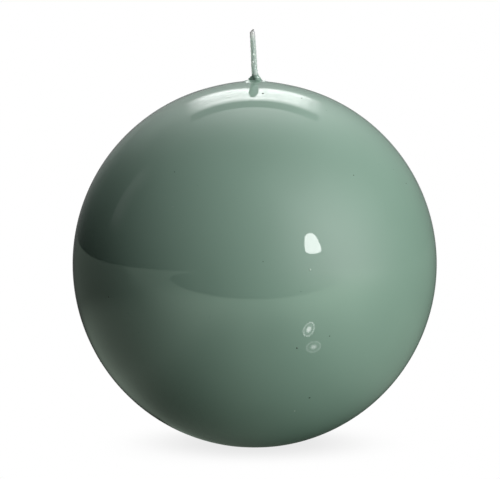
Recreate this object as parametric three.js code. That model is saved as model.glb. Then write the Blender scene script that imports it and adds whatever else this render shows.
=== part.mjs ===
// A lacquered ball candle, 120 mm across, that stands on a small flat.
//
// Four pieces share one axis: a pressed ball of white wax with a drilled bore, a coloured coat that the
// ball was dipped in, a braided wick that runs the whole height and stands proud of the crown, and the
// pressed metal tab that holds the wick's foot in a recess of the base.
//
// Millimetres, +Z up. The origin is the middle of the flat that the candle stands on.

import * as THREE from "three";

// Driving dimensions: the ball and its coat.
const BALL_RADIUS = 60;
const COAT_DROOP = 0.6; // the wet coat ran down, so the ball is this much deeper below its middle
const BASE_RADIUS = 11; // the flat where the coat was levelled
const BASE_OPENING_RADIUS = 7.5; // the coat stops here, around the tab's recess
const COAT_THICKNESS = 1.1;
const FIT_GAP = 0.2; // between pieces that touch on the real candle

// Driving dimensions: the crown, where the coat climbs the wick.
const MOUND_REACH = 14;
const MOUND_HEIGHT = 0.4;
const COLLAR_FOOT_RADIUS = 3.0;
const COLLAR_LIP_RADIUS = 1.55;
const COLLAR_BORE_RADIUS = 1.25;
const COLLAR_HEIGHT = 2.6;

// Driving dimensions: the wick and its tab.
const WICK_RADIUS = 0.95;
const WICK_PROUD = 17.3; // above the crown
const WICK_LEAN = 0.8; // how far the tip stands off the axis
const TAB_RADIUS = 6.25;
const TAB_RIM_RADIUS = 5.2; // outside this the tab is turned up a little
const TAB_RIM_RISE = 0.25;
const TAB_THICKNESS = 0.35;
const TAB_RECESS = 1.6; // from the flat to the tab's underside
const NECK_RADIUS = 1.55;
const NECK_BORE_RADIUS = 1.15;
const NECK_HEIGHT = 6;

// How finely the pieces are faceted.
const BALL_SIDES = 48;
const BALL_RINGS = 24; // from pole to pole
const TAB_SIDES = 36;
const WICK_SIDES = 12;
const WICK_STEPS = 30;

// Heights that follow from the driving dimensions.
const CENTRE_Z = (BALL_RADIUS + COAT_DROOP) * Math.cos(Math.asin(BASE_RADIUS / BALL_RADIUS));
const CROWN_Z = CENTRE_Z + BALL_RADIUS;
const COLLAR_TOP_Z = CROWN_Z + COLLAR_HEIGHT;
const WICK_TOP_Z = CROWN_Z + WICK_PROUD;
const COAT_INNER_RADIUS = BALL_RADIUS - COAT_THICKNESS;
const CORE_RADIUS = COAT_INNER_RADIUS - FIT_GAP;
const TAB_TOP_Z = TAB_RECESS + TAB_THICKNESS;
const NECK_TOP_Z = TAB_RECESS + NECK_HEIGHT;

function piece(name, geometry, color, roughness, metalness) {
  const material = new THREE.MeshStandardMaterial({ color, roughness, metalness });
  const mesh = new THREE.Mesh(geometry, material);
  mesh.name = name;
  return mesh;
}

// Turns a profile of [radius, height] pairs, closed on itself, about the Z axis.
function turned(profile, sides) {
  const points = profile.map(([radius, height]) => new THREE.Vector2(radius, height));
  points.push(points[0].clone());
  return new THREE.LatheGeometry(points, sides).rotateX(Math.PI / 2);
}

// Ring angles from the bottom of the ball to its crown, with an even step between the two ends. Every
// ball-shaped surface uses the same rings, so the gap between two of them stays even.
function ringAngles(from, to) {
  const step = Math.PI / BALL_RINGS;
  const angles = [from];
  for (let i = 0; i <= BALL_RINGS; i++) {
    const angle = i * step;
    if (angle > from + step / 4 && angle < to - step / 4) angles.push(angle);
  }
  angles.push(to);
  return angles;
}

// The side of a ball about the candle's middle, upwards between two radii near its poles.
function ballSide(radius, droop, lowRadius, highRadius) {
  const from = Math.asin(lowRadius / radius);
  const to = Math.PI - Math.asin(highRadius / radius);
  return ringAngles(from, to).map((angle) => {
    const depth = angle < Math.PI / 2 ? radius + droop : radius;
    return [radius * Math.sin(angle), CENTRE_Z - depth * Math.cos(angle)];
  });
}

// The coat's height near the crown: the ball with a low mound on it.
function moundHeight(radius) {
  const ball = CENTRE_Z + Math.sqrt(BALL_RADIUS ** 2 - radius ** 2);
  const fade = Math.cos(((radius / MOUND_REACH) * Math.PI) / 2);
  return ball + MOUND_HEIGHT * fade ** 2;
}

// From the edge of the mound to the foot of the collar.
function mound() {
  const steps = 5;
  const profile = [];
  for (let i = 1; i <= steps; i++) {
    const radius = MOUND_REACH + ((COLLAR_FOOT_RADIUS - MOUND_REACH) * i) / steps;
    profile.push([radius, moundHeight(radius)]);
  }
  return profile;
}

// Up the hollow curve of the collar, over its lip and to its bore.
function collar() {
  const steps = 4;
  const footZ = moundHeight(COLLAR_FOOT_RADIUS);
  const profile = [];
  for (let i = 1; i <= steps; i++) {
    const turn = ((i / steps) * Math.PI) / 2;
    const radius = COLLAR_FOOT_RADIUS - (COLLAR_FOOT_RADIUS - COLLAR_LIP_RADIUS) * Math.sin(turn);
    profile.push([radius, COLLAR_TOP_Z - (COLLAR_TOP_Z - footZ) * Math.cos(turn)]);
  }
  profile.push([COLLAR_BORE_RADIUS, COLLAR_TOP_Z]);
  return profile;
}

// The dipped coat: a thin shell, open at the base around the tab and at the crown around the wick.
function lacquerCoat() {
  const outside = ballSide(BALL_RADIUS, COAT_DROOP, BASE_RADIUS, MOUND_REACH);
  const inside = ballSide(COAT_INNER_RADIUS, 0, BASE_OPENING_RADIUS, COLLAR_BORE_RADIUS).reverse();
  const profile = [...outside, ...mound(), ...collar(), ...inside, [BASE_OPENING_RADIUS, 0]];
  return piece("lacquer_coat", turned(profile, BALL_SIDES), 0x7f9c8c, 0.12, 0);
}

// The pressed wax ball, drilled from end to end for the wick, then wider for the tab and its neck.
function waxCore() {
  const boreRadius = WICK_RADIUS + FIT_GAP;
  const neckSeatRadius = NECK_RADIUS + FIT_GAP;
  const neckSeatZ = NECK_TOP_Z + FIT_GAP;
  const tabSeatRadius = TAB_RADIUS + FIT_GAP;
  const tabSeatZ = TAB_TOP_Z + TAB_RIM_RISE + FIT_GAP;
  const profile = [
    ...ballSide(CORE_RADIUS, 0, tabSeatRadius, boreRadius),
    [boreRadius, neckSeatZ],
    [neckSeatRadius, neckSeatZ],
    [neckSeatRadius, tabSeatZ],
    [tabSeatRadius, tabSeatZ],
  ];
  return piece("wax_core", turned(profile, BALL_SIDES), 0xefeae0, 0.55, 0);
}

// The wick's line: straight up the bore, then leaning to one side above the collar.
function wickLine() {
  return new THREE.CatmullRomCurve3([
    new THREE.Vector3(0, 0, TAB_RECESS),
    new THREE.Vector3(0, 0, CENTRE_Z),
    new THREE.Vector3(0, 0, CROWN_Z - 2),
    new THREE.Vector3(-0.05 * WICK_LEAN, 0, COLLAR_TOP_Z),
    new THREE.Vector3(-0.53 * WICK_LEAN, 0, (COLLAR_TOP_Z + WICK_TOP_Z) / 2),
    new THREE.Vector3(-WICK_LEAN, 0, WICK_TOP_Z),
  ]);
}

// The waxed and lacquered wick, as a plain round rod.
function wick() {
  const corners = [];
  for (let i = 0; i < WICK_SIDES; i++) {
    const angle = (i / WICK_SIDES) * 2 * Math.PI;
    corners.push(new THREE.Vector2(WICK_RADIUS * Math.cos(angle), WICK_RADIUS * Math.sin(angle)));
  }
  const options = { steps: WICK_STEPS, extrudePath: wickLine() };
  const geometry = new THREE.ExtrudeGeometry(new THREE.Shape(corners), options);
  return piece("wick", geometry, 0x8fa99b, 0.35, 0);
}

// The wick tab: a thin pressed disc with a turned-up rim and a neck that grips the wick's foot.
function wickTab() {
  const profile = [
    [NECK_BORE_RADIUS, TAB_RECESS],
    [TAB_RIM_RADIUS, TAB_RECESS],
    [TAB_RADIUS, TAB_RECESS + TAB_RIM_RISE],
    [TAB_RADIUS, TAB_TOP_Z + TAB_RIM_RISE],
    [TAB_RIM_RADIUS, TAB_TOP_Z],
    [NECK_RADIUS, TAB_TOP_Z],
    [NECK_RADIUS, NECK_TOP_Z],
    [NECK_BORE_RADIUS, NECK_TOP_Z],
  ];
  return piece("wick_tab", turned(profile, TAB_SIDES), 0xc4c6c8, 0.3, 1);
}

const candle = new THREE.Group();
candle.add(lacquerCoat(), waxCore(), wick(), wickTab());

export default candle;
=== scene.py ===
"""Looks for a lacquered ball candle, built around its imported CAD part.

Lengths are in metres, in the part's own frame: +Z up, the origin in the middle of the flat base. A bearing is
an angle about +Z in degrees, 0 towards the camera (-Y) and 90 to the right (+X).
"""

import logging
import math
from collections.abc import Sequence
from dataclasses import dataclass, field
from enum import Enum

import bmesh
import bpy
import numpy as np
from mathutils import Matrix, Vector


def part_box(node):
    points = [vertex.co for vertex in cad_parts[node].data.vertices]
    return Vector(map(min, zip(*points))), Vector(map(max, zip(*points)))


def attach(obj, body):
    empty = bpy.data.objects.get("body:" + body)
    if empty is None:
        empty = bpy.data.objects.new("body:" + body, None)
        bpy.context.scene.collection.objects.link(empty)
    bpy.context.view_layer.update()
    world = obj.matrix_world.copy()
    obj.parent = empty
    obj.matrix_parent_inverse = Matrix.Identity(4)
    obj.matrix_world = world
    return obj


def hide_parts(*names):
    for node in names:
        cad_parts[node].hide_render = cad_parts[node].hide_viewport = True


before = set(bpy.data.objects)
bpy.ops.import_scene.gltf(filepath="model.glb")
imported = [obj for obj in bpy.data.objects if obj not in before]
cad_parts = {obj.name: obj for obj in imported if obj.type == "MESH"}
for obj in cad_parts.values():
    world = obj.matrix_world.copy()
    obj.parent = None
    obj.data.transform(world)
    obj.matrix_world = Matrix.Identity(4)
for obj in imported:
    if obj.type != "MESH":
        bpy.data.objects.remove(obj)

MM = 0.001
FULL_TURN = 2.0 * math.pi
Colour = tuple[float, float, float]
WHITE: Colour = (1.0, 1.0, 1.0)
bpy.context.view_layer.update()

log = logging.getLogger("ball_candle")


# ---------------------------------------------------------------------------------------------------------
# Small helpers
# ---------------------------------------------------------------------------------------------------------


def toward(bearing: float, elevation: float) -> Vector:
    """Gives a unit vector from a bearing and an elevation.

    Args:
        bearing: Degrees about +Z, 0 towards -Y and 90 towards +X.
        elevation: Degrees above the horizon.

    Returns:
        The unit vector.
    """
    around, up = math.radians(bearing), math.radians(elevation)
    return Vector((math.sin(around) * math.cos(up), -math.cos(around) * math.cos(up), math.sin(up)))


def wobble(angle: np.ndarray, seed: int, waves: int = 5) -> np.ndarray:
    """Makes smooth noise round a circle.

    Args:
        angle: Angles in radians.
        seed: Seed of the random phases.
        waves: Number of waves that are summed.

    Returns:
        One value per angle, between -1 and 1, the same after a full turn.
    """
    rng = np.random.default_rng(seed)
    total, reach = np.zeros_like(angle), 0.0
    for wave in range(1, waves + 1):
        height = rng.uniform(0.5, 1.0) / wave
        total += height * np.cos(wave * angle + rng.uniform(0.0, FULL_TURN))
        reach += height
    return total / reach


def hump(distance: np.ndarray, width: float) -> np.ndarray:
    """Gives a smooth hump, 1 at no distance and fading over the width."""
    return np.exp(-((distance / width) ** 2))


def turn_between(angle: np.ndarray, other: float) -> np.ndarray:
    """Gives the shorter turn from one angle to others, in radians."""
    return (angle - other + math.pi) % FULL_TURN - math.pi


def ring_body(name: str, points: np.ndarray, wraps: bool) -> bpy.types.Mesh:
    """Builds a closed mesh from rings of points about an upright axis.

    Args:
        name: Name of the new mesh.
        points: Array of rings by sides by 3. Rings run up the outside of the body, each anticlockwise when
            seen from above.
        wraps: True joins the last ring to the first. False closes both ends with a fan about its middle.

    Returns:
        The mesh, smooth shaded, its faces outwards.
    """
    rings, sides = points.shape[:2]
    vertices = [tuple(p) for p in points.reshape(-1, 3)]
    faces = []
    for ring in range(rings if wraps else rings - 1):
        low, high = ring * sides, (ring + 1) % rings * sides
        for side in range(sides):
            after = (side + 1) % sides
            faces.append((low + side, low + after, high + after, high + side))
    if not wraps:
        for ring, forwards in ((0, False), (rings - 1, True)):
            middle = len(vertices)
            vertices.append(tuple(points[ring].mean(axis=0)))
            for side in range(sides):
                edge = (ring * sides + side, ring * sides + (side + 1) % sides)
                faces.append((*(edge if forwards else edge[::-1]), middle))
    mesh = bpy.data.meshes.new(name)
    mesh.from_pydata(vertices, [], faces)
    mesh.shade_smooth()
    mesh.update()
    return mesh


def turned(radii: np.ndarray, heights: np.ndarray, angles: np.ndarray) -> np.ndarray:
    """Turns radii and heights, of rings by sides, into points about the Z axis."""
    return np.stack([radii * np.cos(angles), radii * np.sin(angles), heights + 0.0 * angles], axis=-1)


def place(name: str, mesh: bpy.types.Mesh) -> bpy.types.Object:
    """Makes an object at the origin from a mesh and puts it in the scene."""
    piece = bpy.data.objects.new(name, mesh)
    bpy.context.scene.collection.objects.link(piece)
    return piece


@dataclass
class Sketch:
    """Adds nodes to one node tree and joins them."""

    tree: bpy.types.NodeTree

    def add(self, kind: str, **settings: object) -> bpy.types.Node:
        """Adds a node and sets its properties."""
        node = self.tree.nodes.new(kind)
        for key, value in settings.items():
            setattr(node, key, value)
        return node

    def feed(self, node: bpy.types.Node, socket: str | int, source: object) -> None:
        """Gives an input a plain value, or joins it to another node's output."""
        target = node.inputs[socket]
        if isinstance(source, bpy.types.NodeSocket):
            self.tree.links.new(source, target)
        else:
            target.default_value = source

    def run(self, kind: str, inputs: dict[str | int, object], output: str | int = 0, **settings: object):
        """Adds a node, feeds it and gives one of its outputs.

        Args:
            kind: The node type's own name.
            inputs: What each input is fed with.
            output: Name or number of the output wanted.
            **settings: The node's properties.

        Returns:
            The output socket.
        """
        node = self.add(kind, **settings)
        for socket, source in inputs.items():
            self.feed(node, socket, source)
        return node.outputs[output]


@dataclass
class ShaderSketch(Sketch):
    """A node sketch for materials, lights and the world."""

    def math(self, operation: str, *values: object) -> bpy.types.NodeSocket:
        """Adds a math node."""
        return self.run("ShaderNodeMath", dict(enumerate(values)), operation=operation)

    def ramp(self, value: object, low: float, high: float, start: float = 0.0, end: float = 1.0):
        """Maps a value smoothly from low..high to start..end."""
        inputs = {"Value": value, "From Min": low, "From Max": high, "To Min": start, "To Max": end}
        return self.run("ShaderNodeMapRange", inputs, interpolation_type="SMOOTHSTEP")

    def noise(self, place_at: object, size: float, detail: float = 2.0) -> bpy.types.NodeSocket:
        """Adds noise whose features are about this many metres across."""
        inputs = {"Vector": place_at, "Scale": 1.0 / size, "Detail": detail}
        return self.run("ShaderNodeTexNoise", inputs, "Fac")

    def blend(self, share: object, first: object, second: object) -> bpy.types.NodeSocket:
        """Mixes two colours."""
        node = self.add("ShaderNodeMix", data_type="RGBA")
        for socket, source in ((0, share), (6, first), (7, second)):
            self.feed(node, socket, source)
        return node.outputs[2]

    def object_place(self) -> bpy.types.NodeSocket:
        """Gives the place on the piece, in metres."""
        return self.add("ShaderNodeTexCoord").outputs["Object"]

    def height_of(self, position: bpy.types.NodeSocket) -> bpy.types.NodeSocket:
        """Gives the upright part of a place."""
        return self.run("ShaderNodeSeparateXYZ", {0: position}, "Z")

    def bump(self, height: object, strength: float, depth: float) -> bpy.types.NodeSocket:
        """Turns a height into a surface normal."""
        inputs = {"Height": height, "Strength": strength, "Distance": depth}
        return self.run("ShaderNodeBump", inputs, "Normal")


def solid(colour: Colour) -> tuple[float, float, float, float]:
    """Adds full opacity to a colour."""
    return (*colour, 1.0)


# ---------------------------------------------------------------------------------------------------------
# Finishes
# ---------------------------------------------------------------------------------------------------------


@dataclass(frozen=True)
class Finish:
    """A procedural finish. Each kind draws its own nodes."""

    name: str

    def material(self) -> bpy.types.Material:
        """Builds the finish.

        Returns:
            A material with a Principled shader fed by procedural nodes.
        """
        made = bpy.data.materials.new(self.name)
        made.use_nodes = True
        sketch = ShaderSketch(made.node_tree)
        shader = made.node_tree.nodes["Principled BSDF"]
        self.draw(sketch, shader, sketch.object_place())
        return made

    def draw(self, sketch: ShaderSketch, shader: bpy.types.Node, at: bpy.types.NodeSocket) -> None:
        """Feeds the shader.

        Args:
            sketch: The material's node sketch.
            shader: Its Principled shader.
            at: The place on the piece.
        """
        raise NotImplementedError


@dataclass(frozen=True)
class RipplePatch:
    """A patch of the lacquer that dried with fine ripples."""

    bearing: float
    elevation: float
    reach: float


@dataclass(frozen=True)
class Lacquer(Finish):
    """Coloured wax under a clear high-gloss lacquer, dull where the base was levelled."""

    middle: float = 0.0
    radius: float = 60 * MM
    patches: Sequence[RipplePatch] = ()
    ripple_size: float = 1.1 * MM
    ripple_depth: float = 0.010 * MM
    deep: Colour = (0.268, 0.405, 0.327)
    pale: Colour = (0.286, 0.430, 0.349)
    cloud_size: float = 40 * MM
    gloss_roughness: float = 0.03
    level_roughness: float = 0.42
    level_height: float = 0.05 * MM
    peel_size: float = 2.6 * MM
    peel_depth: float = 0.0015 * MM

    def draw(self, sketch: ShaderSketch, shader: bpy.types.Node, at: bpy.types.NodeSocket) -> None:
        """Feeds the shader with clouded colour, gloss and a trace of orange peel."""
        cloud = sketch.ramp(sketch.noise(at, self.cloud_size), 0.35, 0.65)
        sketch.feed(shader, "Base Color", sketch.blend(cloud, solid(self.deep), solid(self.pale)))
        height = sketch.height_of(at)
        ends = (self.level_roughness, self.gloss_roughness)
        roughness = sketch.ramp(height, self.level_height, 3 * self.level_height, *ends)
        sketch.feed(shader, "Roughness", roughness)
        relief = sketch.math("MULTIPLY", sketch.noise(at, self.peel_size), self.peel_depth / MM)
        ripple = sketch.math("MULTIPLY", sketch.noise(at, self.ripple_size), self.ripple_depth / MM)
        for patch in self.patches:
            heart = Vector((0, 0, self.middle)) + toward(patch.bearing, patch.elevation) * self.radius
            away = sketch.run("ShaderNodeVectorMath", {0: at, 1: tuple(heart)}, "Value", operation="DISTANCE")
            share = sketch.ramp(away, patch.reach, 0.3 * patch.reach)
            relief = sketch.math("ADD", relief, sketch.math("MULTIPLY", ripple, share))
        sketch.feed(shader, "Normal", sketch.bump(relief, 1.0, MM))


@dataclass(frozen=True)
class BareWax(Finish):
    """Pressed white paraffin wax, grainy and a little see-through."""

    shade: Colour = (0.74, 0.70, 0.61)
    light: Colour = (0.88, 0.86, 0.80)
    grain_size: float = 1.1 * MM
    grain_depth: float = 0.05 * MM
    bleed: tuple[float, float, float] = (3 * MM, 2 * MM, 1.4 * MM)

    def draw(self, sketch: ShaderSketch, shader: bpy.types.Node, at: bpy.types.NodeSocket) -> None:
        """Feeds the shader with the look of pressed granules."""
        inputs = {"Vector": at, "Scale": 1.0 / self.grain_size}
        granule = sketch.run("ShaderNodeTexVoronoi", inputs, "Distance")
        cover = sketch.ramp(granule, 0.15, 0.75)
        sketch.feed(shader, "Base Color", sketch.blend(cover, solid(self.light), solid(self.shade)))
        sketch.feed(shader, "Roughness", sketch.ramp(granule, 0.0, 0.8, 0.38, 0.62))
        sketch.feed(shader, "Normal", sketch.bump(granule, 0.5, -self.grain_depth))
        shader.inputs["Subsurface Weight"].default_value = 0.25
        shader.inputs["Subsurface Radius"].default_value = self.bleed
        shader.inputs["Subsurface Scale"].default_value = 1.0


@dataclass(frozen=True)
class WickFinish(Finish):
    """Cotton or its waxed skin: coloured below, fading to bare cotton towards the cut tip."""

    dipped: Colour = (0.44, 0.56, 0.505)
    bare: Colour = (0.92, 0.92, 0.91)
    fade_low: float = 0.1325
    fade_high: float = 0.1345
    mottle_size: float = 0.7 * MM
    mottle_depth: float = 0.012 * MM
    roughness: float = 0.3
    bleed: tuple[float, float, float] = (8.0 * MM, 8.0 * MM, 7.5 * MM)

    def draw(self, sketch: ShaderSketch, shader: bpy.types.Node, at: bpy.types.NodeSocket) -> None:
        """Feeds the shader with a mottled fade up the wick."""
        mottle = sketch.noise(at, self.mottle_size, 3.0)
        cut = sketch.run("ShaderNodeAttribute", {}, "Fac", attribute_name="cut")
        rise = sketch.math("MAXIMUM", cut, sketch.ramp(sketch.height_of(at), self.fade_low, self.fade_high))
        uneven = sketch.math("MULTIPLY", rise, sketch.ramp(mottle, 0.2, 0.55, 0.6, 1.0))
        colour = sketch.blend(uneven, solid(self.dipped), solid(self.bare))
        darker = tuple(0.80 * c for c in self.dipped)
        patchy = sketch.ramp(mottle, 0.5, 0.75, 0.0, 0.5)
        sketch.feed(shader, "Base Color", sketch.blend(patchy, colour, solid(darker)))
        sketch.feed(shader, "Roughness", sketch.ramp(mottle, 0.4, 0.8, self.roughness, 1.5 * self.roughness))
        sketch.feed(shader, "Normal", sketch.bump(mottle, 1.0, self.mottle_depth))
        shader.inputs["Subsurface Weight"].default_value = 1.0
        shader.inputs["Subsurface Radius"].default_value = self.bleed
        shader.inputs["Subsurface Scale"].default_value = 1.0


@dataclass(frozen=True)
class TinPlate(Finish):
    """Pressed tin-plated steel with fine rolling marks."""

    bright: Colour = (0.70, 0.70, 0.69)
    dull: Colour = (0.52, 0.52, 0.52)
    grain: tuple[float, float, float] = (300.0, 6000.0, 300.0)

    def draw(self, sketch: ShaderSketch, shader: bpy.types.Node, at: bpy.types.NodeSocket) -> None:
        """Feeds the shader with streaks along the sheet's rolling direction."""
        stretched = sketch.run("ShaderNodeVectorMath", {0: at, 1: self.grain}, operation="MULTIPLY")
        streak = sketch.run("ShaderNodeTexNoise", {"Vector": stretched, "Scale": 1.0, "Detail": 3.0}, "Fac")
        sketch.feed(shader, "Base Color", sketch.blend(streak, solid(self.dull), solid(self.bright)))
        sketch.feed(shader, "Roughness", sketch.ramp(streak, 0.3, 0.7, 0.22, 0.38))
        shader.inputs["Metallic"].default_value = 1.0


# ---------------------------------------------------------------------------------------------------------
# Shape of the candle
# ---------------------------------------------------------------------------------------------------------


@dataclass(frozen=True)
class CandleForm:
    """The candle's main sizes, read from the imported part."""

    radius: float
    crown: float
    base_radius: float = 11 * MM
    opening_radius: float = 7.5 * MM
    collar_height: float = 2.6 * MM
    coat_thickness: float = 1.1 * MM

    @classmethod
    def of_part(cls) -> "CandleForm":
        """Reads the sizes from the coat's box."""
        _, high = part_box("lacquer_coat")
        return cls(radius=high.x, crown=high.z - cls.collar_height)

    @property
    def centre(self) -> float:
        """Height of the ball's middle."""
        return self.crown - self.radius

    @property
    def depth(self) -> float:
        """Distance from the middle to where the ball's lowest point would be without the flat."""
        return self.centre / math.cos(math.asin(self.base_radius / self.radius))

    @property
    def inner_radius(self) -> float:
        """Radius of the coat's inside."""
        return self.radius - self.coat_thickness

    def height_at(self, radius: np.ndarray) -> np.ndarray:
        """Gives the ball's upper surface at radii from the axis."""
        return self.centre + np.sqrt(self.radius**2 - radius**2)


@dataclass(frozen=True)
class WickLine:
    """The wick's line: straight up the bore, then leaning towards -X above the collar."""

    foot: float
    top: float
    bend: float
    lean: float

    @classmethod
    def of_part(cls, form: CandleForm) -> "WickLine":
        """Reads the line from the wick's box."""
        low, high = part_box("wick")
        bend = form.crown + form.collar_height
        return cls(foot=low.z, top=high.z, bend=bend, lean=-(low.x + high.x))

    def offset(self, height: np.ndarray) -> np.ndarray:
        """Gives how far the line stands towards +X at each height."""
        rise = np.clip((height - self.bend) / (self.top - self.bend), 0.0, None)
        return -self.lean * rise**1.05


@dataclass(frozen=True)
class SlantCut:
    """The wick's tip as scissors left it: two slanted faces that meet in an edge."""

    peak_shift: float = 0.30 * MM
    peak_drop: float = 0.15 * MM
    right_normal: tuple[float, float, float] = (0.90, -0.42, 0.42)
    left_normal: tuple[float, float, float] = (-0.62, -0.20, 0.75)

    def planes(self, line: WickLine) -> list[tuple[Vector, Vector]]:
        """Gives a point and an outward normal for each face of the cut."""
        peak = Vector((line.offset(line.top) + self.peak_shift, 0.35 * MM, line.top - self.peak_drop))
        return [(peak, Vector(self.right_normal).normalized()), (peak, Vector(self.left_normal).normalized())]

    def height(self, line: WickLine, x: np.ndarray, y: np.ndarray) -> np.ndarray:
        """Gives the cut's height above points of the plan."""
        heights = []
        for point, normal in self.planes(line):
            heights.append(point.z - ((x - point.x) * normal.x + (y - point.y) * normal.y) / normal.z)
        return np.minimum.reduce(heights)


# ---------------------------------------------------------------------------------------------------------
# Geometry node recipes
# ---------------------------------------------------------------------------------------------------------


@dataclass
class Recipe:
    """A Geometry Nodes recipe with named inputs, run once and turned into a plain mesh."""

    name: str
    finish: bpy.types.Material
    tree: bpy.types.NodeTree = field(init=False)
    sketch: Sketch = field(init=False)
    settings: dict[str, object] = field(init=False, default_factory=dict)

    def __post_init__(self) -> None:
        """Starts the recipe's tree."""
        self.tree = bpy.data.node_groups.new(self.name, "GeometryNodeTree")
        self.sketch = Sketch(self.tree)
        self.tree.interface.new_socket("Geometry", in_out="INPUT", socket_type="NodeSocketGeometry")
        self.entry = self.tree.nodes.new("NodeGroupInput")

    def setting(self, name: str, value: float | int) -> bpy.types.NodeSocket:
        """Adds a named input.

        Args:
            name: The input's name.
            value: The value it is set to on the modifier.

        Returns:
            The socket that gives the value inside the tree.
        """
        kind = "NodeSocketInt" if isinstance(value, int) else "NodeSocketFloat"
        self.tree.interface.new_socket(name, in_out="INPUT", socket_type=kind)
        self.settings[name] = value
        return self.entry.outputs[name]

    def math(self, operation: str, *values: object) -> bpy.types.NodeSocket:
        """Adds a math node."""
        return self.sketch.run("ShaderNodeMath", dict(enumerate(values)), operation=operation)

    def finish_with(self, geometry: bpy.types.NodeSocket) -> None:
        """Ends the tree: realizes what it made, smooths it and gives it its finish."""
        self.tree.interface.new_socket("Geometry", in_out="OUTPUT", socket_type="NodeSocketGeometry")
        real = self.sketch.run("GeometryNodeRealizeInstances", {0: geometry})
        smooth = self.sketch.run("GeometryNodeSetShadeSmooth", {0: real})
        worn = self.sketch.run("GeometryNodeSetMaterial", {"Geometry": smooth, "Material": self.finish})
        leave = self.tree.nodes.new("NodeGroupOutput")
        self.tree.links.new(worn, leave.inputs[0])

    def bake_on(self, piece: bpy.types.Object) -> None:
        """Runs the recipe on a piece and keeps the result as its plain mesh."""
        modifier = piece.modifiers.new(self.name, "NODES")
        modifier.node_group = self.tree
        for item in self.tree.interface.items_tree:
            if item.in_out == "INPUT" and item.name in self.settings:
                modifier[item.identifier] = self.settings[item.name]
        seen = piece.evaluated_get(bpy.context.evaluated_depsgraph_get())
        plain = bpy.data.meshes.new_from_object(seen)
        piece.modifiers.clear()
        piece.data = plain
        plain.name = piece.name


def named_attribute(sketch: Sketch, name: str, kind: str = "FLOAT") -> bpy.types.NodeSocket:
    """Reads a named attribute of the surface that a recipe works on."""
    return sketch.run("GeometryNodeInputNamedAttribute", {"Name": name}, "Attribute", data_type=kind)


def relief_recipe(
    finish: bpy.types.Material, slow: tuple[float, float], fine: tuple[float, float], seed: int
) -> Recipe:
    """Makes a recipe that gives a surface two sizes of soft waves, where its "free" attribute allows.

    Args:
        finish: The material to wear.
        slow: Width and height of the wide waves.
        fine: Width and height of the narrow waves.
        seed: Shifts the pattern.

    Returns:
        The recipe.
    """
    recipe = Recipe("relief", finish)
    shift = recipe.setting("Seed", seed)
    free = named_attribute(recipe.sketch, "free")
    total: object = 0.0
    for label, (width, height) in (("Slow", slow), ("Fine", fine)):
        scale = recipe.math("DIVIDE", 1.0, recipe.setting(f"{label} Width", width))
        inputs = {"W": shift, "Scale": scale, "Detail": 1.0}
        noise = recipe.sketch.run("ShaderNodeTexNoise", inputs, "Fac", noise_dimensions="4D")
        centred = recipe.math("SUBTRACT", noise, 0.5)
        wave = recipe.math("MULTIPLY", centred, recipe.setting(f"{label} Height", 2 * height))
        total = recipe.math("ADD", total, wave)
    rise = recipe.math("MULTIPLY", total, free)
    normal = recipe.sketch.add("GeometryNodeInputNormal").outputs["Normal"]
    offset = recipe.sketch.run("ShaderNodeVectorMath", {0: normal, "Scale": rise}, operation="SCALE")
    inputs = {"Geometry": recipe.entry.outputs[0], "Offset": offset}
    recipe.finish_with(recipe.sketch.run("GeometryNodeSetPosition", inputs))
    return recipe


# ---------------------------------------------------------------------------------------------------------
# Pieces
# ---------------------------------------------------------------------------------------------------------


@dataclass(frozen=True)
class Lump:
    """A soft swelling on the collar or the wick's skin, at a bearing and a height."""

    bearing: float
    height: float
    rise: float
    width: float = 0.45 * MM
    tall: float = 0.4 * MM

    def lift(self, angles: np.ndarray, heights: np.ndarray, radius: float) -> np.ndarray:
        """Gives how far the lump pushes each point outwards."""
        across = turn_between(angles, math.radians(self.bearing - 90.0)) * radius
        return self.rise * hump(across, self.width) * hump(heights - self.height, self.tall)


@dataclass(frozen=True)
class Shelf:
    """A dribble on the collar's side with a flat sloping top."""

    bearing: float
    half_width: float
    top: float
    slope: float
    reach: float
    start: float = 1.15 * MM
    middle_reach: float = 2.2 * MM
    wall_lean: float = 0.35
    rounding: float = 0.12 * MM

    def spread(self, angles: np.ndarray, heights: np.ndarray) -> np.ndarray:
        """Gives the radius out to which the dribble fills the collar, 0 beside it."""
        turn = turn_between(angles, math.radians(self.bearing - 90.0))
        across = self.middle_reach * np.sin(turn)
        top = self.start + (self.top - heights) / self.slope
        wall = self.reach - self.wall_lean * heights
        out = 0.5 * (top + wall - np.sqrt((top - wall) ** 2 + self.rounding**2))
        share = np.clip(np.abs(across) / self.half_width, 0.0, 1.0)
        return out * np.sqrt(1.0 - share**3) * (np.cos(turn) > 0.0)


@dataclass(frozen=True)
class Pool:
    """A low heap of lacquer at the collar's foot, straight-sided with a soft top."""

    x: float
    y: float
    height: float
    width: float
    depth: float
    softness: float = 0.12

    def lift(self, radii: np.ndarray, angles: np.ndarray) -> np.ndarray:
        """Gives how far the pool raises each point."""
        across = (radii * np.cos(angles) - self.x) / self.width
        back = (radii * np.sin(angles) - self.y) / self.depth
        drop = np.sqrt(across**2 + back**2 + self.softness**2) - self.softness
        return self.height * np.clip(1.0 - drop, 0.0, 1.0)


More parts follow.
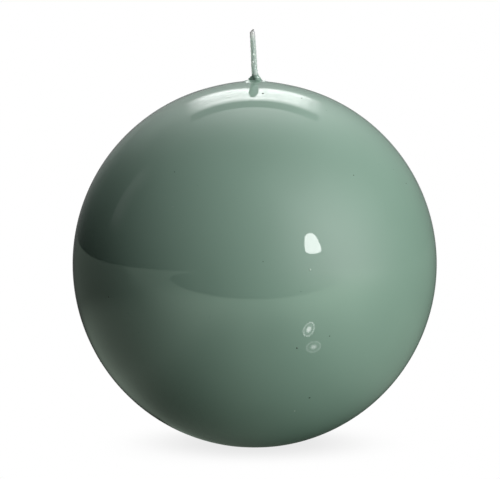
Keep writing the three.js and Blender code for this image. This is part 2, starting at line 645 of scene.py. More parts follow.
@dataclass
class LacquerCoat:
    """The dipped coat: ball, mound at the crown, collar up the wick and levelled base."""

    form: CandleForm
    patches: Sequence[RipplePatch] = (
        RipplePatch(bearing=-23, elevation=43, reach=8 * MM),
        RipplePatch(bearing=24, elevation=54, reach=6 * MM),
        RipplePatch(bearing=-59, elevation=45, reach=7 * MM),
        RipplePatch(bearing=150, elevation=38, reach=8 * MM),
    )
    sides: int = 288
    side_rings: int = 132
    base_rings: int = 22
    opening_room: float = 0.15 * MM
    level_softness: float = 0.06 * MM
    calm_base: float = 6 * MM
    calm_crown: tuple[float, float] = (5 * MM, 8 * MM)
    slow_waves: tuple[float, float] = (26 * MM, 0.028 * MM)
    fine_waves: tuple[float, float] = (8 * MM, 0.004 * MM)
    mound_height: float = 0.30 * MM
    mound_reach: float = 14 * MM
    mound_lopsided: float = 0.08
    ring_height: float = 0.24 * MM
    ring_radius: float = 2.75 * MM
    ring_width: float = 0.80 * MM
    groove_depth: float = 0.25 * MM
    groove_width: float = 2.5 * MM
    groove_span: tuple[float, float, float, float] = (4 * MM, 8 * MM, 18 * MM, 24 * MM)
    foot_radius: float = 1.90 * MM
    lip_radius: float = 1.20 * MM
    bore_radius: float = 1.10 * MM
    lip_height: float = 2.45 * MM
    lip_waves: float = 0.16
    lip_drag: float = 0.18
    edge_waves: float = 0.05
    collar_hollow: tuple[float, float] = (1.15, 0.92)
    shelf_blend: float = 0.12 * MM
    lumps: Sequence[Lump] = (
        Lump(bearing=-88, height=0.95 * MM, rise=0.72 * MM, width=0.8 * MM, tall=0.38 * MM),
        Lump(bearing=-80, height=1.50 * MM, rise=0.28 * MM, width=0.9 * MM, tall=0.45 * MM),
        Lump(bearing=95, height=0.55 * MM, rise=0.80 * MM, width=1.1 * MM, tall=0.60 * MM),
        Lump(bearing=84, height=1.40 * MM, rise=0.50 * MM, width=0.9 * MM, tall=0.50 * MM),
        Lump(bearing=175, height=0.80 * MM, rise=0.40 * MM, width=1.2 * MM, tall=0.60 * MM),
        Lump(bearing=-25, height=0.70 * MM, rise=0.25 * MM, width=1.0 * MM, tall=0.50 * MM),
    )
    shelf: Shelf = Shelf(bearing=22.0, half_width=1.35 * MM, top=2.05 * MM, slope=0.38, reach=3.50 * MM)
    pools: Sequence[Pool] = (
        Pool(x=-2.2 * MM, y=-3.6 * MM, height=0.50 * MM, width=1.20 * MM, depth=2.0 * MM),
        Pool(x=3.2 * MM, y=-1.9 * MM, height=0.28 * MM, width=0.65 * MM, depth=1.2 * MM),
        Pool(x=0.6 * MM, y=2.9 * MM, height=0.30 * MM, width=1.2 * MM, depth=1.2 * MM),
    )

    def build(self) -> bpy.types.Object:
        """Builds, dresses and joins the coat to the part.

        Returns:
            The finished piece.
        """
        angles = np.linspace(0.0, FULL_TURN, self.sides, endpoint=False)[None, :]
        parts = [self._ball_side(angles), self._mound(angles), self._collar(angles), self._inside(angles)]
        points = np.concatenate([turned(*p[:2], angles) for p in parts])
        free = np.concatenate([np.broadcast_to(p[2], p[0].shape) for p in parts])
        mesh = ring_body("lacquer_coat_skin", points, wraps=True)
        mesh.attributes.new("free", "FLOAT", "POINT").data.foreach_set("value", free.ravel())
        piece = place("lacquer_coat_skin", mesh)
        form = self.form
        finish = Lacquer("sage_lacquer", middle=form.centre, radius=form.radius, patches=self.patches)
        relief_recipe(finish.material(), self.slow_waves, self.fine_waves, seed=5).bake_on(piece)
        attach(piece, "root")
        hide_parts("lacquer_coat")
        return piece

    def _ball_side(self, angles: np.ndarray) -> tuple[np.ndarray, np.ndarray, np.ndarray]:
        """Gives the radii, heights and freedom of the outside, from the base's opening to the mound."""
        form = self.form
        start = math.asin((form.opening_radius + self.opening_room) / form.radius)
        near = math.asin(1.3 * form.base_radius / form.radius)
        end = math.pi - math.asin(self.mound_reach / form.radius)
        base = np.linspace(start, near, self.base_rings)
        turns = np.concatenate([base, np.linspace(near, end, self.side_rings)[1:]])[:, None]
        radii = form.radius * np.sin(turns) + 0.0 * angles
        depth = np.where(turns < math.pi / 2, form.depth, form.radius)
        heights = form.centre - depth * np.cos(turns) + 0.0 * angles
        softness = self.level_softness * (1.0 + 0.3 * wobble(angles, 11))
        heights = np.where(turns < near, 0.5 * (heights + np.sqrt(heights**2 + softness**2)), heights)
        heights = heights - np.where(turns > math.pi / 2, self._groove(radii, angles), 0.0)
        free = np.clip((radii - form.base_radius) / self.calm_base, 0.0, 1.0)
        return radii, heights, free

    def _mound_lift(self, radii: np.ndarray, angles: np.ndarray) -> np.ndarray:
        """Gives how far the crown swells above the ball."""
        side = self.mound_lopsided * np.cos(angles)
        reach = self.mound_reach * (1.0 - side - 0.04 * wobble(angles, 3))
        share = np.clip(radii / reach, 0.0, 1.0)
        return self.mound_height * (1.0 - side) * np.cos(share * math.pi / 2) ** 2

    def _mound(self, angles: np.ndarray) -> tuple[np.ndarray, np.ndarray, np.ndarray]:
        """Gives the radii, heights and freedom of the crown, from the mound's edge to the collar's foot."""
        close = 0.18
        far, near = np.linspace(1.0, close, 26)[1:], np.linspace(close, 0.0, 22)[1:]
        share = np.concatenate([far, near])[:, None]
        foot = self._foot(angles)
        radii = foot + (self.mound_reach - foot) * share
        heights = self._crown_height(radii, angles)
        start, width = self.calm_crown
        return radii, heights, np.clip((radii - start) / width, 0.0, 1.0)

    def _foot(self, angles: np.ndarray) -> np.ndarray:
        """Gives the radius of the collar's foot."""
        return self.foot_radius * (1.0 + self.edge_waves * wobble(angles, 21))

    def _crown_height(self, radii: np.ndarray, angles: np.ndarray) -> np.ndarray:
        """Gives the height of the crown with its mound, and the ring and pools around the collar."""
        ring_radius = self.ring_radius * (1.0 + 0.10 * wobble(angles, 8, 3))
        ring_height = self.ring_height * (1.0 + 0.30 * wobble(angles, 9, 3))
        ring = ring_height * hump(radii - ring_radius, self.ring_width)
        pools = sum(pool.lift(radii, angles) for pool in self.pools)
        lift = self._mound_lift(radii, angles) + ring + pools
        return self.form.height_at(radii) + lift - self._groove(radii, angles)

    def _groove(self, radii: np.ndarray, angles: np.ndarray) -> np.ndarray:
        """Gives the depth of the shallow run that the wet coat left in front of the collar."""
        start, full, waning, end = self.groove_span
        along = np.interp(radii, (start, full, waning, end), (0.0, 1.0, 1.0, 0.0))
        along = along * along * (3.0 - 2.0 * along)
        front = np.clip(-np.sin(angles), 0.0, 1.0) ** 2
        return self.groove_depth * along * front * hump(radii * np.cos(angles), self.groove_width)

    def _collar(self, angles: np.ndarray) -> tuple[np.ndarray, np.ndarray, np.ndarray]:
        """Gives the radii, heights and freedom of the collar, its lip and its bore."""
        climb = np.linspace(0.0, 1.0, 34)[1:, None]
        foot = self._foot(angles)
        foot_height = self._crown_height(foot, angles)
        lip = self.lip_radius * (1.0 + self.edge_waves * wobble(angles, 31))
        tilt = self.lip_waves * wobble(angles, 32, 3) + self.lip_drag * np.cos(angles)
        top = self.form.crown + self.lip_height * (1.0 - self.lip_waves + tilt)
        inward, upward = self.collar_hollow
        radii = foot + (lip - foot) * np.sin(climb * math.pi / 2) ** inward
        heights = foot_height + (top - foot_height) * (1.0 - np.cos(climb * math.pi / 2)) ** upward
        above = heights - self.form.crown
        for lump in self.lumps:
            radii = radii + lump.lift(angles, above, self.foot_radius)
        shelf = self.shelf.spread(angles, above) * np.clip(climb * 6.0, 0.0, 1.0)
        radii = 0.5 * (radii + shelf + np.sqrt((radii - shelf) ** 2 + (self.shelf_blend * climb) ** 2))
        rounding = np.linspace(0.0, math.pi, 7)[1:-1, None]
        middle, half = (radii[-1:] + self.bore_radius) / 2, (radii[-1:] - self.bore_radius) / 2
        lip_radii = middle + half * np.cos(rounding)
        lip_heights = heights[-1:] + half * np.sin(rounding)
        bore_floor = self.form.centre + math.sqrt(self.form.inner_radius**2 - self.bore_radius**2)
        fall = np.linspace(0.0, 1.0, 8)[:, None]
        bore_heights = heights[-1:] + (bore_floor - heights[-1:]) * fall
        bore_radii = np.full_like(bore_heights, self.bore_radius)
        radii = np.concatenate([radii, lip_radii, bore_radii])
        heights = np.concatenate([heights, lip_heights, bore_heights])
        return radii, heights, np.zeros(1)

    def _inside(self, angles: np.ndarray) -> tuple[np.ndarray, np.ndarray, np.ndarray]:
        """Gives the radii, heights and freedom of the inside and of the base's opening."""
        form = self.form
        high = math.pi - math.asin(self.bore_radius / form.inner_radius)
        low = math.asin(form.opening_radius / form.inner_radius)
        turns = np.linspace(high, low, 44)[1:, None]
        radii = form.inner_radius * np.sin(turns) + 0.0 * angles
        heights = form.centre - form.inner_radius * np.cos(turns) + 0.0 * angles
        edge = np.linspace(0.8, 0.12, 4)[:, None]
        wall_heights = heights[-1:] * edge
        wall_radii = np.full_like(wall_heights, form.opening_radius)
        return np.concatenate([radii, wall_radii]), np.concatenate([heights, wall_heights]), np.zeros(1)


@dataclass
class WickBraid:
    """The braided cotton, from the tab to the slanted cut."""

    line: WickLine
    cut: SlantCut = SlantCut()
    finish: WickFinish = WickFinish("wick_cotton", roughness=0.75)
    strands_each_way: int = 4
    strand_radius: float = 0.25 * MM
    braid_radius: float = 0.46 * MM
    weave_depth: float = 0.09 * MM
    pitch: float = 6.4 * MM
    step: float = 0.32 * MM

    def build(self) -> bpy.types.Object:
        """Builds, cuts and dresses the braid.

        Returns:
            The finished piece.
        """
        piece = place("wick_braid", bpy.data.meshes.new("wick_braid"))
        self._recipe().bake_on(piece)
        self._trim(piece.data)
        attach(piece, "root")
        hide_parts("wick")
        return piece

    def _recipe(self) -> Recipe:
        """Draws the recipe that sweeps every strand along the wick's line."""
        recipe = Recipe("round_braid", self.finish.material())
        sketch = recipe.sketch
        foot = recipe.setting("Foot Height", self.line.foot)
        top = recipe.setting("Top Height", self.line.top + self.pitch / 4)
        bend = recipe.setting("Bend Height", self.line.bend)
        lean = recipe.setting("Lean", self.line.lean / (self.line.top - self.line.bend))
        each_way = recipe.setting("Strands Each Way", self.strands_each_way)
        radius = recipe.setting("Braid Radius", self.braid_radius)
        weave = recipe.setting("Weave Depth", self.weave_depth)
        turn_rate = recipe.math("DIVIDE", FULL_TURN, recipe.setting("Pitch", self.pitch))
        strand = recipe.setting("Strand Radius", self.strand_radius)
        count = recipe.setting("Steps", int((self.line.top - self.line.foot) / self.step))

        base = sketch.run("GeometryNodeCurvePrimitiveLine", {"End": (0.0, 0.0, 1.0)})
        base = sketch.run("GeometryNodeResampleCurve", {"Curve": base, "Count": count})
        amount = recipe.math("MULTIPLY", each_way, 2)
        copies = sketch.add("GeometryNodeDuplicateElements", domain="SPLINE")
        sketch.feed(copies, "Geometry", base)
        sketch.feed(copies, "Amount", amount)
        index = copies.outputs["Duplicate Index"]

        share = sketch.add("GeometryNodeSplineParameter").outputs["Factor"]
        rise = recipe.math("MULTIPLY", share, recipe.math("SUBTRACT", top, foot))
        height = recipe.math("ADD", foot, rise)
        way = recipe.math("SUBTRACT", recipe.math("MULTIPLY", recipe.math("MODULO", index, 2), 2), 1)
        pair = recipe.math("FLOOR", recipe.math("DIVIDE", index, 2))
        start = recipe.math("DIVIDE", recipe.math("MULTIPLY", pair, FULL_TURN), each_way)
        turn = recipe.math("MULTIPLY", height, turn_rate)
        angle = recipe.math("ADD", start, recipe.math("MULTIPLY", way, turn))
        over = recipe.math("COSINE", recipe.math("MULTIPLY", turn, each_way))
        lift = recipe.math("MULTIPLY", recipe.math("MULTIPLY", way, over), weave)
        reach = recipe.math("ADD", radius, lift)
        above = recipe.math("MAXIMUM", recipe.math("SUBTRACT", height, bend), 0)
        shift = recipe.math("MULTIPLY", above, lean)
        x = recipe.math("SUBTRACT", recipe.math("MULTIPLY", reach, recipe.math("COSINE", angle)), shift)
        y = recipe.math("MULTIPLY", reach, recipe.math("SINE", angle))
        position = sketch.run("ShaderNodeCombineXYZ", {"X": x, "Y": y, "Z": height})
        laid = sketch.run("GeometryNodeSetPosition", {"Geometry": copies.outputs[0], "Position": position})
        section = sketch.run("GeometryNodeCurvePrimitiveCircle", {"Resolution": 8, "Radius": strand})
        inputs = {"Curve": laid, "Profile Curve": section, "Fill Caps": True}
        recipe.finish_with(sketch.run("GeometryNodeCurveToMesh", inputs))
        return recipe

    def _trim(self, mesh: bpy.types.Mesh) -> None:
        """Cuts the braid to its slanted tip and closes every strand's end."""
        work = bmesh.new()
        work.from_mesh(mesh)
        for point, normal in self.cut.planes(self.line):
            everything = [*work.verts, *work.edges, *work.faces]
            bmesh.ops.bisect_plane(work, geom=everything, plane_co=point, plane_no=normal, clear_outer=True)
            rims = [edge for edge in work.edges if edge.is_boundary]
            bmesh.ops.holes_fill(work, edges=rims, sides=0)
        for face in work.faces:
            face.smooth = len(face.verts) <= 4
        bmesh.ops.recalc_face_normals(work, faces=work.faces)
        work.to_mesh(mesh)
        work.free()


@dataclass(frozen=True)
class Flat:
    """A bead on the wick's skin whose face is flat and turned to one side, so it glints."""

    bearing: float
    height: float
    facing: tuple[float, float] = (18.0, 6.5)
    rise: float = 0.34 * MM
    keep: float = 0.12 * MM
    width: float = 0.30 * MM
    softness: float = 0.02 * MM
    tallness: float = 1.15
    least_slant: float = 0.2

    def shape(self, radius: np.ndarray, angles: np.ndarray, heights: np.ndarray, around: float) -> np.ndarray:
        """Raises the bead on the skin and cuts its face.

        Args:
            radius: The skin's radius.
            angles: Angles about the wick.
            heights: Heights above the crown.
            around: The wick's mean radius here.

        Returns:
            The new radius.
        """
        heart = math.radians(self.bearing - 90.0)
        across = turn_between(angles, heart) * around
        bead = self.rise * hump(across, self.width)
        raised = radius + bead * hump(heights - self.height, self.tallness * self.width)
        normal = toward(*self.facing)
        reach = around + self.keep
        along = reach * (math.cos(heart) * normal.x + math.sin(heart) * normal.y)
        slant = np.cos(angles) * normal.x + np.sin(angles) * normal.y
        face = (along - (heights - self.height) * normal.z) / np.maximum(slant, self.least_slant)
        cut = 0.5 * (raised + face - np.sqrt((raised - face) ** 2 + self.softness**2))
        return np.maximum(radius, cut)


@dataclass
class WickSkin:
    """The wax that fills and covers the braid above the collar, with the braid showing through."""

    line: WickLine
    form: CandleForm
    braid: WickBraid
    finish: WickFinish = WickFinish("wick_skin", roughness=0.05, mottle_depth=0.003 * MM, fade_high=0.1365)
    sides: int = 96
    rings: int = 240
    root_radius: float = 1.06 * MM
    tip_radius: float = 0.84 * MM
    mean_radius: float = 0.95 * MM
    root_depth: float = 0.9 * MM
    cut_inset: float = 0.05 * MM
    rim_waves: float = 0.06 * MM
    weave_relief: float = 0.055 * MM
    weave_levels: tuple[float, float] = (0.6, 0.4)
    weave_start: float = 1.5 * MM
    weave_fade: float = 4 * MM
    slow_length: float = 1.7 * MM
    slow_relief: float = 0.03 * MM
    flats: Sequence[Flat] = (
        Flat(bearing=37, height=11.4 * MM, width=0.36 * MM),
        Flat(bearing=-3, height=8.8 * MM, width=0.32 * MM),
        Flat(bearing=-16, height=6.6 * MM, width=0.32 * MM),
        Flat(bearing=24, height=4.5 * MM, width=0.28 * MM),
        Flat(bearing=62, height=3.6 * MM, width=0.30 * MM),
    )
    beads: Sequence[Lump] = (
        Lump(bearing=78, height=2.60 * MM, rise=0.34 * MM, width=0.36 * MM, tall=0.26 * MM),
        Lump(bearing=150, height=8.0 * MM, rise=0.16 * MM, width=0.30 * MM, tall=0.40 * MM),
        Lump(bearing=-120, height=5.6 * MM, rise=0.16 * MM, width=0.30 * MM, tall=0.36 * MM),
    )

    def build(self) -> bpy.types.Object:
        """Builds and dresses the skin.

        Returns:
            The finished piece.
        """
        angles = np.linspace(0.0, FULL_TURN, self.sides, endpoint=False)[None, :]
        bottom = self.form.crown - self.root_depth
        top_shift = self.line.offset(np.array(self.line.top))
        rim_x, rim_y = self.tip_radius * np.cos(angles), self.tip_radius * np.sin(angles)
        rim = self.braid.cut.height(self.line, top_shift + rim_x, rim_y) - self.cut_inset
        rim = rim - self.rim_waves * (1.0 + wobble(angles, 41, 9))
        heights = bottom + (rim - bottom) * np.linspace(0.0, 1.0, self.rings)[:, None]
        radii = self._radius(angles, heights)
        shrink = np.linspace(0.97, 0.08, 9)[:, None]
        cap_radii = radii[-1:] * shrink
        cap_x, cap_y = cap_radii * np.cos(angles), cap_radii * np.sin(angles)
        cap = self.braid.cut.height(self.line, top_shift + cap_x, cap_y) - self.cut_inset
        points = turned(np.concatenate([radii, cap_radii]), np.concatenate([heights, cap]), angles)
        points[..., 0] += self.line.offset(points[..., 2])
        mesh = ring_body("wick_skin", points, wraps=False)
        bare = np.zeros(len(mesh.vertices))
        bare[radii.size : radii.size + cap_radii.size] = 1.0
        bare[-1] = 1.0
        mesh.attributes.new("cut", "FLOAT", "POINT").data.foreach_set("value", bare)
        mesh.materials.append(self.finish.material())
        piece = place("wick_skin", mesh)
        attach(piece, "root")
        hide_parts("wick")
        return piece

    def _radius(self, angles: np.ndarray, heights: np.ndarray) -> np.ndarray:
        """Gives the skin's outer radius: a taper, the braid's ridges, slow lumps and beads."""
        proud = heights - self.form.crown
        share = np.clip(proud / (self.line.top - self.form.crown), 0.0, 1.0)
        taper = self.root_radius + (self.tip_radius - self.root_radius) * share**0.5
        turn = FULL_TURN * heights / self.braid.pitch
        strands = self.braid.strands_each_way
        level, swing = self.weave_levels
        ridge = np.maximum(
            np.cos(strands * (angles - turn)) * (level + swing * np.cos(strands * turn)),
            np.cos(strands * (angles + turn)) * (level - swing * np.cos(strands * turn)),
        )
        showing = np.clip((proud - self.weave_start) / self.weave_fade, 0.0, 1.0)
        slow = self.slow_relief * wobble(angles + proud / self.slow_length, 43, 4) * showing
        radius = taper + self.weave_relief * ridge * showing + slow
        for bead in self.beads:
            radius = radius + bead.lift(angles, proud, self.tip_radius)
        for flat in self.flats:
            radius = flat.shape(radius, angles, proud, self.mean_radius)
        return radius


@dataclass
class TipFray:
    """Short loose fibres on the wick's cut faces."""

    line: WickLine
    cut: SlantCut
    finish: WickFinish = WickFinish("wick_fray", roughness=0.8, dipped=(0.7, 0.7, 0.68))
    count: int = 44
    length: float = 0.24 * MM
    thickness: float = 0.018 * MM
    outward: float = 0.6
    upward: float = 0.9
    spread: float = 0.9
    sag: float = 0.4
    smallest: float = 0.4
    area_radius: float = 0.66 * MM
    root_depth: float = 0.12 * MM
    seed: int = 12

    def build(self) -> bpy.types.Object:
        """Builds and dresses the fibres.

        Returns:
            The finished piece.
        """
        mesh = bpy.data.meshes.new("wick_fray")
        roots, ways = self._roots()
        mesh.from_pydata(roots, [], [])
        mesh.attributes.new("way", "FLOAT_VECTOR", "POINT").data.foreach_set("vector", np.array(ways).ravel())
        piece = place("wick_fray", mesh)
        self._recipe().bake_on(piece)
        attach(piece, "root")
        return piece

    def _roots(self) -> tuple[list[tuple[float, float, float]], list[tuple[float, float, float]]]:
        """Scatters the fibres' roots over the cut, each with the way it points."""
        rng = np.random.default_rng(self.seed)
        roots, ways = [], []
        for _ in range(self.count):
            angle, reach = rng.uniform(0.0, FULL_TURN), self.area_radius * math.sqrt(rng.uniform())
            x = self.line.offset(np.array(self.line.top)) + reach * math.cos(angle)
            y = reach * math.sin(angle)
            z = self.cut.height(self.line, np.array(x), np.array(y)) - self.root_depth
            roots.append((float(x), y, float(z)))
            normal = max(self.cut.planes(self.line), key=lambda p: (Vector(roots[-1]) - p[0]).dot(p[1]))[1]
            loose = Vector(rng.normal(size=3)) * self.spread
            way = normal * self.outward + Vector((0, 0, self.upward)) + loose * 0.5
            ways.append(tuple(way.normalized()))
        return roots, ways

    def _recipe(self) -> Recipe:
        """Draws the recipe that puts a bent fibre on every root."""
        recipe = Recipe("fray", self.finish.material())
        sketch = recipe.sketch
        seed = recipe.setting("Seed", self.seed)
        length = recipe.setting("Length", self.length)
        thickness = recipe.setting("Thickness", self.thickness)
        line = sketch.run("GeometryNodeCurvePrimitiveLine", {"End": (0.0, 0.0, 1.0)})
        line = sketch.run("GeometryNodeResampleCurve", {"Curve": line, "Count": 5})
        share = sketch.add("GeometryNodeSplineParameter").outputs["Factor"]
        droop = recipe.math("MULTIPLY", length, recipe.setting("Sag", self.sag))
        sag = recipe.math("MULTIPLY", recipe.math("POWER", share, 2), droop)
        rise = recipe.math("MULTIPLY", share, length)
        position = sketch.run("ShaderNodeCombineXYZ", {"X": sag, "Z": rise})
        bent = sketch.run("GeometryNodeSetPosition", {"Geometry": line, "Position": position})
        section = sketch.run("GeometryNodeCurvePrimitiveCircle", {"Resolution": 4, "Radius": thickness})
        inputs = {"Curve": bent, "Profile Curve": section, "Fill Caps": True}
        fibre = sketch.run("GeometryNodeCurveToMesh", inputs)
        way = named_attribute(sketch, "way", "FLOAT_VECTOR")
        lean = sketch.run("FunctionNodeAlignRotationToVector", {"Vector": way}, axis="Z")
        inputs = {"Min": self.smallest, "Max": 1.0, "Seed": seed}
        size = sketch.run("FunctionNodeRandomValue", inputs, "Value")
        points = sketch.run("GeometryNodeMeshToPoints", {"Mesh": recipe.entry.outputs[0]})
        inputs = {"Points": points, "Instance": fibre, "Rotation": lean, "Scale": size}
        recipe.finish_with(sketch.run("GeometryNodeInstanceOnPoints", inputs))
        return recipe


@dataclass
class DustNibs:
    """Specks caught under the lacquer, each a low dome."""

    form: CandleForm
    name: str = "dust_nibs"
    finish: Lacquer = Lacquer("nib_lacquer", deep=(0.06, 0.09, 0.07), pale=(0.13, 0.20, 0.16))
    scattered: int = 34
    largest: float = 0.30 * MM
    smallest: float = 0.10 * MM
    smallness: float = 2.5
    highest_sine: float = 0.9
    flatness: float = 0.35
    seed: int = 77
    noted: Sequence[tuple[float, float, float]] = (
        (7.7, 70.8, 0.34),
        (61.0, 79.0, 0.28),
        (39.0, 66.5, 0.22),
        (-51.0, -7.0, 0.32),
        (13.5, -21.0, 0.34),
        (24.0, -17.5, 0.22),
        (22.0, -40.0, 0.34),
        (-30.0, 33.0, 0.20),
    )

    def build(self) -> bpy.types.Object:
        """Builds and dresses the specks.

        Returns:
            The finished piece.
        """
        rng = np.random.default_rng(self.seed)
        spots = [(b, e, s * MM) for b, e, s in self.noted]
        for _ in range(self.scattered):
            elevation = math.degrees(math.asin(rng.uniform(-self.highest_sine, self.highest_sine)))
            size = self.smallest + (self.largest - self.smallest) * rng.uniform() ** self.smallness
            spots.append((rng.uniform(-180.0, 180.0), elevation, size))
        ways = [toward(bearing, elevation) for bearing, elevation, _ in spots]
        reach = np.array([self._skin_distance(way) for way in ways])
        mesh = bpy.data.meshes.new(self.name)
        mesh.from_pydata([Vector((0, 0, self.form.centre)) + w * r for w, r in zip(ways, reach)], [], [])
        mesh.attributes.new("way", "FLOAT_VECTOR", "POINT").data.foreach_set("vector", np.array(ways).ravel())
        sizes = np.array([size for _, _, size in spots])
        mesh.attributes.new("size", "FLOAT", "POINT").data.foreach_set("value", sizes)
        piece = place(self.name, mesh)
        self._recipe().bake_on(piece)
        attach(piece, "root")
        return piece

    def _skin_distance(self, way: Vector) -> float:
        """Gives the distance from the ball's middle to its skin, along a direction."""
        depth = self.form.radius if way.z > 0 else self.form.depth
        return 1.0 / math.sqrt((way.x**2 + way.y**2) / self.form.radius**2 + way.z**2 / depth**2)

    def _recipe(self) -> Recipe:
        """Draws the recipe that sets a low dome on every spot."""
        recipe = Recipe("nibs", self.finish.material())
        sketch = recipe.sketch
        flatness = recipe.setting("Flatness", self.flatness)
        size = named_attribute(sketch, "size")
        way = named_attribute(sketch, "way", "FLOAT_VECTOR")
        dome = sketch.run("GeometryNodeMeshUVSphere", {"Segments": 10, "Rings": 6, "Radius": 1.0})
        turn = sketch.run("FunctionNodeAlignRotationToVector", {"Vector": way}, axis="Z")
        low = recipe.math("MULTIPLY", size, flatness)
        scale = sketch.run("ShaderNodeCombineXYZ", {"X": size, "Y": size, "Z": low})
        points = sketch.run("GeometryNodeMeshToPoints", {"Mesh": recipe.entry.outputs[0]})
        inputs = {"Points": points, "Instance": dome, "Rotation": turn, "Scale": scale}
        recipe.finish_with(sketch.run("GeometryNodeInstanceOnPoints", inputs))
        return recipe


def pale_nibs(form: CandleForm) -> DustNibs:
    """Makes the few pale specks, where a crumb of white wax shows under the lacquer."""
    crumb = Lacquer("crumb_lacquer", deep=(0.42, 0.55, 0.47), pale=(0.55, 0.66, 0.60))
    spots = ((16.5, 3.0, 0.34), (17.5, -46.0, 0.26), (-140.0, 12.0, 0.28))
    return DustNibs(form, "wax_crumbs", crumb, scattered=5, seed=31, noted=spots)


@dataclass
class WaxBall:
    """The pressed white wax: ball, wick bore and the recess for the tab."""

    form: CandleForm
    finish: BareWax = BareWax("pressed_wax")
    sides: int = 192
    fit_gap: float = 0.2 * MM
    edge: float = 0.12 * MM
    neck_seat: float = 1.75 * MM
    tab_room: float = 0.8 * MM
    slow_waves: tuple[float, float] = (3 * MM, 0.05 * MM)
    fine_waves: tuple[float, float] = (0.9 * MM, 0.03 * MM)

    def build(self) -> bpy.types.Object:
        """Builds and dresses the ball.

        Returns:
            The finished piece.
        """
        profile = self._profile()
        angles = np.linspace(0.0, FULL_TURN, self.sides, endpoint=False)[None, :]
        radii = np.array([r for r, _, _ in profile])[:, None] + 0.0 * angles
        heights = np.array([z for _, z, _ in profile])[:, None] + 0.0 * angles
        free = np.repeat(np.array([f for _, _, f in profile]), self.sides)
        mesh = ring_body("wax_ball", turned(radii, heights, angles), wraps=True)
        mesh.attributes.new("free", "FLOAT", "POINT").data.foreach_set("value", free)
        piece = place("wax_ball", mesh)
        relief_recipe(self.finish.material(), self.slow_waves, self.fine_waves, seed=2).bake_on(piece)
        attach(piece, "root")
        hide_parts("wax_core")
        return piece

    def _profile(self) -> list[tuple[float, float, float]]:
        """Lists radius, height and freedom, up the outside and down the bore."""
        form = self.form
        radius = form.inner_radius - self.fit_gap
        tab_low, tab_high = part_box("wick_tab")
        core_low, core_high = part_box("wax_core")
        _, wick_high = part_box("wick")
        bore = wick_high.y + self.fit_gap
        seat = tab_high.x + self.fit_gap
        seat_top = tab_low.z + self.tab_room
        neck, neck_top = self.neck_seat, tab_high.z + self.fit_gap
        low, high = math.asin((seat + self.edge) / radius), math.pi - math.asin(bore / radius)
        turns = [*np.linspace(low, low + 0.06, 12), *np.linspace(low + 0.06, high, 70)[1:]]
        outside = []
        for turn in turns:
            free = 0.3 if turn < low + 0.05 else 0.0
            outside.append((radius * math.sin(turn), form.centre - radius * math.cos(turn), free))
        inside = [(bore, z, 0.0) for z in np.linspace(core_high.z, neck_top, 40)]
        inside += [(neck, neck_top, 0.0), (neck, (neck_top + seat_top) / 2, 0.0), (neck, seat_top, 0.0)]
        inside += [(r, seat_top, 0.5) for r in np.linspace(neck, seat, 22)[1:]]
        inside += [(seat, z, 0.6) for z in np.linspace(seat_top, core_low.z + self.edge, 8)[1:]]
        return outside + inside


